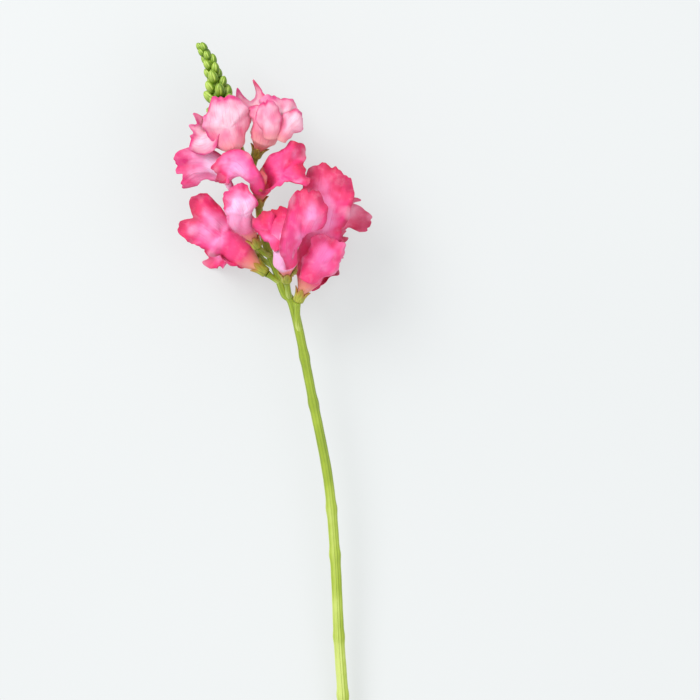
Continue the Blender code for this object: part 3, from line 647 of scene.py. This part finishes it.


# For each tint: the colour along the lip from the mouth to its end, its light middle (partly the petal's own
# paler colour and partly painted highlight), its rim and how strong the rim is.
LIP_COLOURS = {
    "pale": ([(0.3, (0.82, 0.34, 0.34)), (0.45, (0.80, 0.21, 0.31)), (0.6, (0.82, 0.27, 0.39)),
              (1.0, (0.84, 0.38, 0.50))], (0.88, 0.52, 0.62), (0.62, 0.010, 0.17), 1.0),
    "light": ([(0.3, (0.80, 0.12, 0.26)), (0.55, (0.84, 0.30, 0.52)), (0.82, (0.86, 0.30, 0.54)),
               (0.97, (0.80, 0.06, 0.22))], (0.90, 0.54, 0.76), (0.62, 0.012, 0.15), 1.0),
    "deep": ([(0.3, (0.84, 0.04, 0.17)), (0.55, (0.84, 0.05, 0.25)), (0.74, (0.82, 0.03, 0.20)),
              (0.88, (0.76, 0.014, 0.13)), (1.0, (0.62, 0.006, 0.09))],
             (0.86, 0.26, 0.52), (0.46, 0.004, 0.07), 0.9),
    "blush": ([(0.3, (0.86, 0.40, 0.62)), (0.5, (0.88, 0.40, 0.66)), (0.66, (0.86, 0.12, 0.34)),
               (0.8, (0.82, 0.02, 0.15))], (0.90, 0.50, 0.74), (0.56, 0.006, 0.09), 0.85),
    "soft": ([(0.3, (0.70, 0.09, 0.22)), (0.6, (0.76, 0.17, 0.32)), (1.0, (0.72, 0.09, 0.20))],
             (0.80, 0.32, 0.46), (0.48, 0.02, 0.09), 0.8),
    # hot: its pale rim is painted highlight on the rolled edges of the extra layer.
    "hot": ([(0.3, (0.84, 0.03, 0.16)), (0.6, (0.86, 0.045, 0.22)), (0.85, (0.82, 0.03, 0.17)),
             (1.0, (0.76, 0.03, 0.17))], (0.88, 0.15, 0.42), (0.84, 0.16, 0.38), 0.7),
    # throat: brown to orange, with a near-black rim that is painted shade in the slit between the lips.
    "throat": ([(0.3, (0.40, 0.14, 0.02)), (0.5, (0.60, 0.14, 0.05)), (0.8, (0.66, 0.08, 0.08))],
               (0.72, 0.22, 0.10), (0.20, 0.02, 0.006), 0.95),
}
# The upper and lower lip's tint of each bloom.
LIP_TINTS = [("pale", "pale"), ("pale", "pale"), ("deep", "deep"), ("light", "light"), ("deep", "deep"),
             ("blush", "deep"), ("deep", "deep"), ("soft", "soft"), ("deep", "deep"), ("deep", "deep")]

TUBE_COLOURS = [(0.0, (0.50, 0.42, 0.08)), (0.10, (0.80, 0.36, 0.20)), (0.22, (0.86, 0.20, 0.20))]
petal_materials = {}


def lip_colour(nodes, tint, along, across, rim, patch, mottle):
    """The colour of a lip, from its foot over its light middle to its rim."""
    stops, light_colour, rim_colour, rim_strength = LIP_COLOURS[tint]
    colour = nodes.ramp(along, TUBE_COLOURS + stops)

    # The light middle, partly the petal's own paler colour and partly painted highlight, lies clear of the
    # sides and of both ends, and is patchy.
    centre = nodes.range(nodes.math("ABSOLUTE", across), 0.9, 0.25)
    belt = nodes.math("MULTIPLY", nodes.range(along, 0.40, 0.62), nodes.range(along, 0.96, 0.74))
    light = nodes.math("MULTIPLY", nodes.math("MULTIPLY", centre, belt), nodes.range(patch, 0.38, 0.56))
    colour = nodes.mix(nodes.math("MULTIPLY", light, 0.95), colour, (*light_colour, 1))

    # The rim's colour ends in an uneven line and fades in places.
    edge = nodes.math("ADD", rim, nodes.math("MULTIPLY", nodes.math("SUBTRACT", mottle, 0.5), 0.35))
    edge = nodes.math("MULTIPLY", nodes.range(edge, 0.77, 0.97), nodes.range(patch, 0.62, 0.42, 0.35, 1.0))
    return nodes.mix(nodes.math("MULTIPLY", edge, rim_strength), colour, (*rim_colour, 1))


def petal_material(tints):
    """The skin of a corolla, with the tint of its upper and of its lower lip."""
    if tints in petal_materials:
        return petal_materials[tints]
    nodes = Nodes("petal_" + "_".join(tints))
    along, across, rim, lower = (nodes.attribute(name) for name in ("along", "across", "rim", "side"))
    mottle = nodes.noise(150.0, 4.0)
    patch = nodes.noise(70.0, 2.0)
    wander = nodes.math("MULTIPLY_ADD", nodes.math("SUBTRACT", mottle, 0.5), 0.2)
    nodes.set(wander.node.inputs[2], along)
    both = [lip_colour(nodes, tint, wander, across, rim, patch, mottle) for tint in tints]
    colour = nodes.mix(lower, both[0], both[1])

    # Veins that fan out along the petal.
    fan = nodes.new("ShaderNodeCombineXYZ", X=nodes.math("MULTIPLY", across, 14.0),
                    Y=nodes.math("MULTIPLY", along, 3.0))
    veins = nodes.noise(1.6, 3.0, fan.outputs[0], 0.6)
    dark = nodes.range(veins, 0.50, 0.72)
    colour = nodes.mix(nodes.math("MULTIPLY", dark, 0.34), colour, (0.66, 0.012, 0.17, 1))

    # Painted shade: deeper pink in the dents. Painted highlight: paler on what stands out. And faint pale
    # flecks.
    dent = nodes.attribute("dent")
    colour = nodes.mix(nodes.range(dent, 0.0, -1.1, 0.0, 0.62), colour, (0.93, 0.10, 0.40, 1), "MULTIPLY")
    colour = nodes.mix(nodes.range(dent, 0.35, 1.4, 0.0, 0.25), colour, (0.95, 0.62, 0.80, 1))
    flecks = nodes.noise(260.0, 3.0)
    colour = nodes.mix(nodes.range(flecks, 0.5, 0.72, 0.0, 0.15), colour, (0.88, 0.42, 0.60, 1))
    nodes.set(nodes.shader.inputs["Base Color"], colour)

    nodes.shader.inputs["Roughness"].default_value = 0.55
    nodes.shader.inputs["Subsurface Weight"].default_value = 0.15
    nodes.shader.inputs["Subsurface Radius"].default_value = (1.0, 0.25, 0.4)
    nodes.shader.inputs["Subsurface Scale"].default_value = 0.0012
    nodes.shader.inputs["Sheen Weight"].default_value = 0.06
    height = nodes.math("ADD", nodes.math("MULTIPLY", veins, 0.6), nodes.math("MULTIPLY", mottle, 0.6))
    nodes.bump(height, 0.6, 0.0008)
    petal_materials[tints] = nodes.material
    return nodes.material


# For each skin of stalk, calyx, bud and stamen: its shade, body and light colour, which paint shade between
# its ridges and highlight on their crests, how close its ridges lie, how much lighter its tip is than its
# foot as painted light, and the brown blush towards its tip, which is painted shade under the corolla.
SKINS = {
    "stem_skin": dict(shade=(0.18, 0.26, 0.005), body=(0.33, 0.43, 0.025), light=(0.55, 0.63, 0.16),
                      stripes=3.0, painted_tip_light=-0.07),
    "calyx_skin": dict(shade=(0.14, 0.16, 0.008), body=(0.30, 0.32, 0.02), light=(0.48, 0.48, 0.06),
                       stripes=5.0, blush=(0.50, 0.16, 0.03)),
    "bud_skin": dict(shade=(0.03, 0.08, 0.001), body=(0.15, 0.27, 0.004), light=(0.46, 0.60, 0.10),
                     stripes=2.2, painted_tip_light=0.08),
    "stamen_skin": dict(shade=(0.42, 0.15, 0.03), body=(0.62, 0.36, 0.07), light=(0.80, 0.62, 0.22),
                        stripes=4.0),
}


def ridged_material(name, shade, body, light, stripes, painted_tip_light=0.0, blush=None):
    """A fresh skin with fine ridges along it, with painted highlight on their crests and painted shade
    between them.
    """
    nodes = Nodes(name)
    along, across = nodes.attribute("along"), nodes.attribute("across")
    turn = nodes.math("MULTIPLY", across, 2 * math.pi)
    line = nodes.new("ShaderNodeCombineXYZ", X=nodes.math("MULTIPLY", nodes.math("COSINE", turn), stripes),
                     Y=nodes.math("MULTIPLY", nodes.math("SINE", turn), stripes),
                     Z=nodes.math("MULTIPLY", along, 1.5))
    ridges = nodes.noise(1.0, 2.0, line.outputs[0])
    blotch = nodes.noise(60.0, 3.0)
    # The ramp paints shade between the ridges and highlight on their crests, over blotches of the skin's own
    # tone.
    tone = nodes.math("ADD", nodes.math("MULTIPLY", ridges, 0.65), nodes.math("MULTIPLY", blotch, 0.35))
    # Painted light along the length: a highlight towards the bud tips and shade towards the stalk's head.
    tone = nodes.math("ADD", tone, nodes.range(along, 0.1, 0.8, -painted_tip_light, painted_tip_light))
    colour = nodes.ramp(tone, [(0.34, shade), (0.5, body), (0.66, light)])
    # The brown blush towards the tip is painted shade of the corolla over the calyx.
    if blush:
        share = nodes.math("MULTIPLY", nodes.range(along, 0.35, 0.95), nodes.range(blotch, 0.4, 0.6))
        colour = nodes.mix(nodes.math("MULTIPLY", share, 0.75), colour, (*blush, 1))
    speck = nodes.noise(700.0, 2.0)
    nodes.set(nodes.shader.inputs["Base Color"], colour)
    nodes.shader.inputs["Roughness"].default_value = 0.45
    nodes.shader.inputs["Subsurface Weight"].default_value = 0.1
    nodes.shader.inputs["Subsurface Radius"].default_value = (0.6, 1.0, 0.2)
    nodes.shader.inputs["Subsurface Scale"].default_value = 0.001
    height = nodes.math("ADD", nodes.math("MULTIPLY", ridges, 0.9), nodes.math("MULTIPLY", speck, 0.2))
    nodes.bump(height, 0.6, 0.0006)
    return nodes.material


def tube_surface(points, radii, sides, shape=None):
    """A tube as vertices, faces and its along and across values, closed at both ends."""
    tangents, normals = carried_frames(points, np.array((0.0, 0.0, 1.0)))
    angles = np.linspace(0, 2 * math.pi, sides, endpoint=False)
    vertices, along, across = [points[0]], [0.0], [0.0]
    for row, (point, tangent, normal, radius) in enumerate(zip(points, tangents, normals, radii)):
        side = np.cross(tangent, normal)
        for angle in angles:
            local = radius * (1 if shape is None else shape(row, angle))
            vertices.append(point + local * (math.cos(angle) * normal + math.sin(angle) * side))
            along.append(row / (len(points) - 1))
            across.append(angle / (2 * math.pi))
    faces = ring_faces(len(points), sides)
    last = 1 + (len(points) - 1) * sides
    vertices.append(points[-1])
    along.append(1.0)
    across.append(0.0)
    end = len(vertices) - 1
    faces += [(last + i, last + (i + 1) % sides, end) for i in range(sides)]
    return np.array(vertices), faces, {"along": np.array(along), "across": np.array(across)}


def stem_line(count):
    """Points along the stem and its radius there, with a swelling at each node."""
    points, _ = smooth_curve(STEM_ROUTE, count)
    known_radii = (STEM_CUT_RADIUS, STEM_HEAD_RADIUS, STEM_TOP_RADIUS)
    radii = np.interp(points[:, 1], (CUT_Y, HEAD_Y, TOP_Y), known_radii)
    for node in STEM_NODES:
        radii *= 1 + NODE_SWELL * np.exp(-((points[:, 1] - node) / NODE_LENGTH) ** 2)
    return points, radii


def dress_green(thing, node, material):
    thing.data.materials.append(material)
    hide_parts(node)
    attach(thing, "root")


def make_stalk(material):
    """The bare stem, a little ridged and knotted."""
    points, radii = stem_line(STEM_ROWS)
    bumps = np.random.default_rng(STEM_SEED).uniform(0, 2 * math.pi, 6)

    def ridged(row, angle):
        y = points[row, 1]
        ridges = 0.035 * math.sin(5 * angle + bumps[0] + 0.01 * y) + 0.02 * math.sin(9 * angle + bumps[1])
        knots = 0.02 * math.sin(0.45 * y + bumps[2] + 2 * angle) * math.sin(0.17 * y + bumps[3])
        return 1 + ridges + knots

    vertices, faces, attributes = tube_surface(points, radii, STEM_SIDES, ridged)
    dress_green(mesh_object("stalk", vertices, faces, attributes), "stem", material)


def make_pedicel(number, bloom, material):
    """The short stalk that carries a bloom, wider at both ends."""
    points, _ = stem_line(STEM_ROWS)
    base, _, axis = bloom_line(bloom)
    leave = np.array([np.interp(bloom.joint, points[:, 1], points[:, k]) for k in range(3)])
    end = base - axis * (CALYX_DEPTH + 0.1)
    line, _ = smooth_curve([leave, (leave + end) / 2 - axis * PEDICEL_SAG, end], PEDICEL_ROWS)
    share = np.linspace(0, 1, PEDICEL_ROWS)
    radii = PEDICEL_RADIUS * (PEDICEL_FOOT - (PEDICEL_FOOT - 1) * share + PEDICEL_HEAD * share ** 6)
    vertices, faces, attributes = tube_surface(line, radii, PEDICEL_SIDES)
    dress_green(mesh_object(f"pedicel_{number:02d}", vertices, faces, attributes), "stem", material)


def make_calyx(number, bloom, material):
    """The cup of five pointed sepals round the foot of a bloom."""
    base, mouth, axis = bloom_line(bloom)
    tube = np.linalg.norm(mouth - base)
    side = unit(np.cross(axis, (0.3, 0.2, 1.0)))
    other = np.cross(axis, side)
    columns, rows = CALYX_COLUMNS, CALYX_ROWS
    phase = np.random.default_rng(CALYX_SEED + number).uniform(0, 2 * math.pi, SEPALS)
    vertices, along, across = [base - axis * CALYX_DEPTH], [0.0], [0.0]
    for row in range(rows):
        level = row / (rows - 1)
        for column in range(columns):
            angle = 2 * math.pi * column / columns
            sepal = (1 - abs(2 * (SEPALS * column / columns % 1) - 1)) ** SEPAL_POINT
            which = int(SEPALS * column / columns)
            rise = smooth_step((level - CALYX_FOOT) / (1 - CALYX_FOOT))
            height = rise * CALYX_HEIGHT * (1 - SEPAL_CUT + SEPAL_CUT * sepal)
            height *= 1 + SEPAL_SPREAD * math.sin(phase[which])
            radius = TUBE_FOOT_RADIUS + (bloom.girth - TUBE_FOOT_RADIUS) * (height / tube) ** TUBE_FLARE
            radius += CALYX_CLEARANCE + CALYX_FLARE * rise ** 3 * sepal
            radius -= CALYX_NOTCH_PULL * (1 - sepal) * rise
            round_foot = math.sin(min(level / CALYX_FOOT, 1) * math.pi / 2)
            depth = -CALYX_DEPTH * (1 - smooth_step(level / CALYX_BASE))
            ribs = 1 + CALYX_RIB * math.cos(SEPALS * 2 * angle) * rise
            radius *= round_foot * ribs
            vertices.append(base + axis * (height + depth)
                            + radius * (math.cos(angle) * side + math.sin(angle) * other))
            along.append(level)
            across.append(angle / (2 * math.pi))
    faces = ring_faces(rows, columns)
    attributes = {"along": np.array(along), "across": np.array(across)}
    cup = mesh_object(f"calyx_{number:02d}", np.array(vertices), faces, attributes)
    thicken(cup, CALYX_THICKNESS)
    dress_green(cup, "stem", material)


def make_spike(material):
    """The tip's core and its closed buds in one mesh."""
    points, _ = smooth_curve(SPIKE_ROUTE, SPIKE_RINGS)
    along = np.linspace(0, 1, SPIKE_RINGS)
    radii = SPIKE_FOOT_RADIUS + (SPIKE_TIP_RADIUS - SPIKE_FOOT_RADIUS) * along
    core, faces, attributes = tube_surface(points, radii * CORE_SHARE, SPIKE_SIDES)
    vertices = [core]
    values = {key: [part] for key, part in attributes.items()}
    faces = list(faces)
    count = len(core)
    tangents, normals = carried_frames(points, np.array((0.0, 0.0, 1.0)))
    chance = np.random.default_rng(BUD_SEED).uniform(-1, 1, (SPIKE_BUDS, 2))
    for number in range(SPIKE_BUDS):
        share = (number + 0.5) / SPIKE_BUDS
        place, tangent, normal = (np.array([np.interp(share, along, part[:, k]) for k in range(3)])
                                  for part in (points, tangents, normals))
        angle = number * SPIKE_TURN
        out = math.cos(angle) * unit(normal) + math.sin(angle) * np.cross(unit(tangent), unit(normal))
        lean = BUD_FOOT_LEAN + (BUD_TIP_LEAN - BUD_FOOT_LEAN) * share ** SPIKE_FULLNESS
        size = BUD_FOOT_LENGTH + (BUD_TIP_LENGTH - BUD_FOOT_LENGTH) * share ** SPIKE_FULLNESS
        lean *= 1 + BUD_LEAN_SPREAD * chance[number, 0]
        size *= 1 + BUD_SIZE_SPREAD * chance[number, 1]
        foot = place + out * np.interp(share, along, radii) * BUD_ROOT
        bud, bud_faces, bud_values = bud_surface(foot, unit(out * lean + tangent), size)
        vertices.append(bud)
        faces += [tuple(i + count for i in face) for face in bud_faces]
        for key in values:
            values[key].append(bud_values[key])
        count += len(bud)
    attributes = {key: np.concatenate(parts) for key, parts in values.items()}
    dress_green(mesh_object("buds", np.concatenate(vertices), faces, attributes), "bud_spike", material)


def bud_surface(foot, direction, length):
    """A pointed bud in its five sepals, as a tube along its own axis."""
    share = np.linspace(0, 1, BUD_ROWS)
    width = bud_width(share) * length
    line = foot + np.outer((share - BUD_SUNK) * length, direction)

    def grooved(row, angle):
        sepal = abs(math.sin(SEPALS * angle / 2))
        return 1 + BUD_GROOVE * (sepal ** 0.5 - 1) + BUD_STAR * math.cos(SEPALS * angle)

    return tube_surface(line, np.maximum(width, 0.01), BUD_SIDES, grooved)


def bud_width(share):
    """The half width of a bud of length 1 at a share of its length: full below, pointed above."""
    return BUD_SLIMNESS * BUD_FULLNESS * share ** 0.5 * (1 - share) ** 0.62


def make_stamens(number, bloom, material):
    """A slender stalk that stands in the tube with a two-lobed yellow head."""
    base, mouth, axis = bloom_line(bloom)
    foot = base + axis * (CAD_PETAL_THICKNESS / 2 + STAMEN_CLEARANCE)
    tip = mouth + axis * ANTHER_REACH
    line, _ = smooth_curve([foot, (foot + tip) / 2, tip], STAMEN_ROWS)
    share = np.linspace(0, 1, STAMEN_ROWS)
    radii = STAMEN_RADIUS + ANTHER_WIDTH * np.exp(-((share - ANTHER_MIDDLE) / ANTHER_LENGTH) ** 2)
    radii[-1] *= 0.5

    def two_lobed(row, angle):
        return 1 + ANTHER_LOBES * math.cos(2 * angle)

    vertices, faces, attributes = tube_surface(line, radii, STAMEN_SIDES, two_lobed)
    stalk = mesh_object(f"stamen_{number:02d}", vertices, faces, attributes)
    stalk.data.materials.append(material)
    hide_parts(f"stamens_{number:02d}")
    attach(stalk, "root")


def make_floor():
    """A pale surface that glows a little, so that the shadows on it stay faint."""
    bpy.ops.mesh.primitive_plane_add(size=12.0, location=(0, 0, 0))
    floor = bpy.context.object
    floor.name = "floor"
    nodes = Nodes("floor")
    grain = nodes.noise(3.0, 2.0)
    colour = nodes.ramp(grain, [(0.3, (0.275, 0.28, 0.28)), (0.7, (0.29, 0.293, 0.293))])
    nodes.set(nodes.shader.inputs["Base Color"], colour)
    nodes.shader.inputs["Roughness"].default_value = 0.9
    nodes.shader.inputs["Specular IOR Level"].default_value = 0.0
    nodes.shader.inputs["Emission Color"].default_value = (0.97, 1.0, 1.0, 1)
    nodes.shader.inputs["Emission Strength"].default_value = FLOOR_GLOW
    floor.data.materials.append(nodes.material)


def make_lights():
    world = bpy.data.worlds.new("pale_room")
    bpy.context.scene.world = world
    world.use_nodes = True
    background = world.node_tree.nodes["Background"]
    background.inputs[0].default_value = (0.95, 0.98, 1.0, 1)
    background.inputs[1].default_value = WORLD_STRENGTH
    for name, place, size, power in LIGHTS:
        light = bpy.data.lights.new(name, "AREA")
        light.size = size
        light.energy = power
        lamp = bpy.data.objects.new(name, light)
        lamp.location = place
        lamp.rotation_euler = (-Vector(place)).to_track_quat("-Z", "Y").to_euler()
        bpy.context.scene.collection.objects.link(lamp)


def make_camera():
    data = bpy.data.cameras.new("camera")
    camera = bpy.data.objects.new("camera", data)
    data.sensor_width = SENSOR_WIDTH
    data.lens = SENSOR_WIDTH * CAMERA_HEIGHT / VIEW_WIDTH
    data.clip_end = 20.0
    camera.location = (VIEW_CENTRE + SHIFT + np.array((0, 0, CAMERA_HEIGHT))) * MM
    bpy.context.scene.collection.objects.link(camera)
    bpy.context.scene.camera = camera
    bpy.context.scene.view_settings.view_transform = "Standard"


def main():
    make_camera()
    make_lights()
    make_floor()
    skins = {name: ridged_material(name, **looks) for name, looks in SKINS.items()}
    make_stalk(skins["stem_skin"])
    make_spike(skins["bud_skin"])
    for petal in LOOSE_PETALS:
        make_loose_petal(**petal)
    for number, bloom in enumerate(BLOOMS, 1):
        make_pedicel(number, bloom, skins["stem_skin"])
        make_calyx(number, bloom, skins["calyx_skin"])
        make_bloom(number, bloom)
        make_stamens(number, bloom, skins["stamen_skin"])


main()
